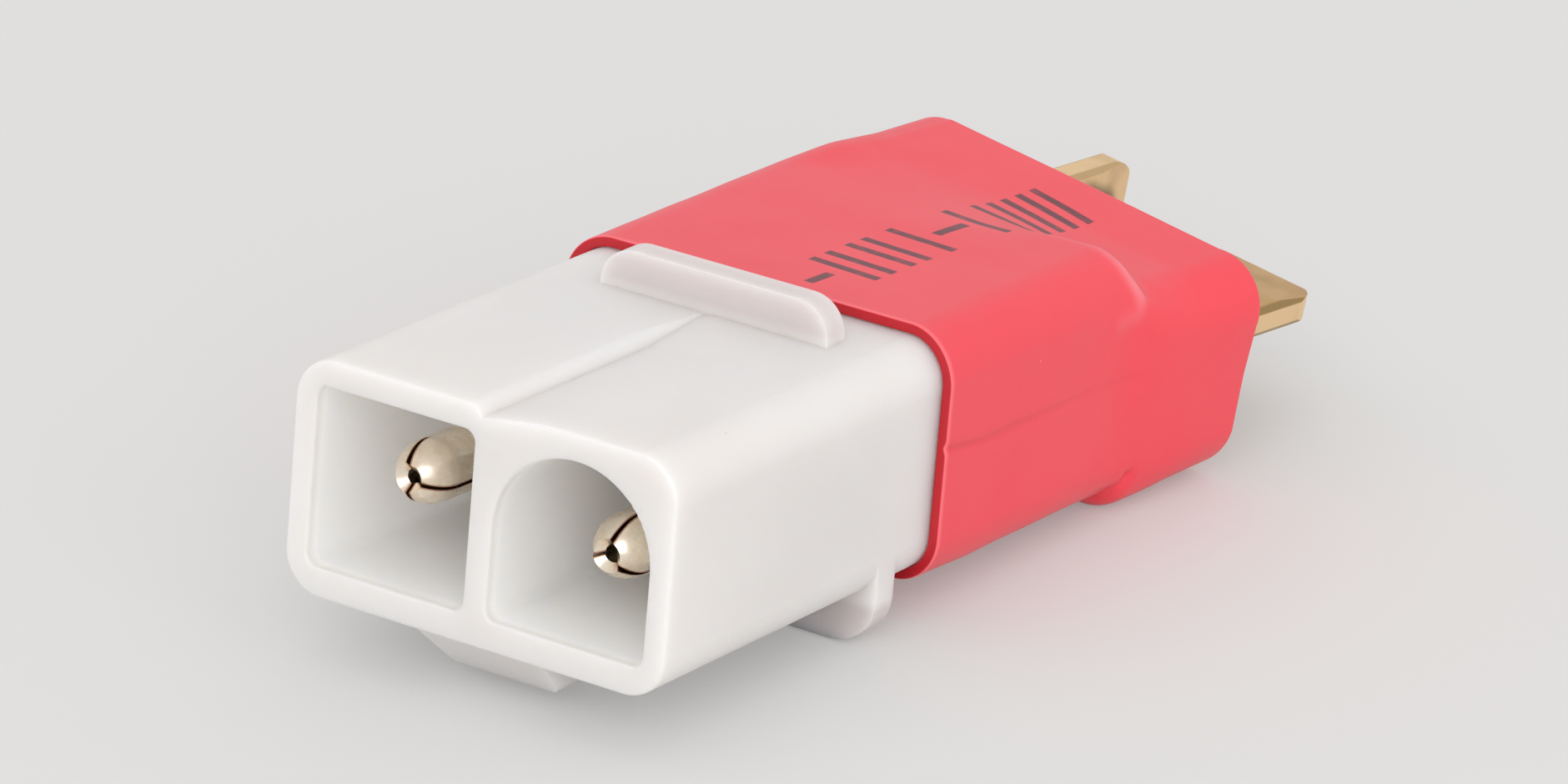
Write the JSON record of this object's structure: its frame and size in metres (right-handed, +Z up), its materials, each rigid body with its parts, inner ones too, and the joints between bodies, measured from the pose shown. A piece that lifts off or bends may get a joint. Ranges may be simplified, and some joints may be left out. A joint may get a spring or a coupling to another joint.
{
  "type": "battery connector adapter",
  "caption": "Inline battery adapter: a white latching pin receptacle joined end to end with a T plug that has a flat and an upright blade, under a red shrunk sleeve.",
  "frame": {"origin": "centre of the receptacle's mating face, on the front of the wall between its cavities", "axes": "+Y back along the adapter from the mating face to the blades, +Z up to the side with the hollow and the short stop flange, +X to the side of the round-topped cavity"},
  "size_m": [0.0175, 0.044, 0.0117],
  "materials": {
    "white_nylon": "satin, slightly translucent",
    "tinned_contact": "warm tin plating with bare copper-brown cut edges",
    "solder": "dull grey",
    "dark_red_nylon": "satin",
    "brass_blade": "soft satin",
    "red_sleeve": "satin, slightly translucent"
  },
  "bodies": {
    "root": {"receptacle_housing": "white_nylon", "left_contact_pin": "tinned_contact", "right_contact_pin": "tinned_contact", "left_solder_joint": "solder", "right_solder_joint": "solder", "plug_body": "dark_red_nylon", "upright_blade": "brass_blade", "flat_blade": "brass_blade", "shrink_sleeve": "red_sleeve"}
  },
  "joints": []
}
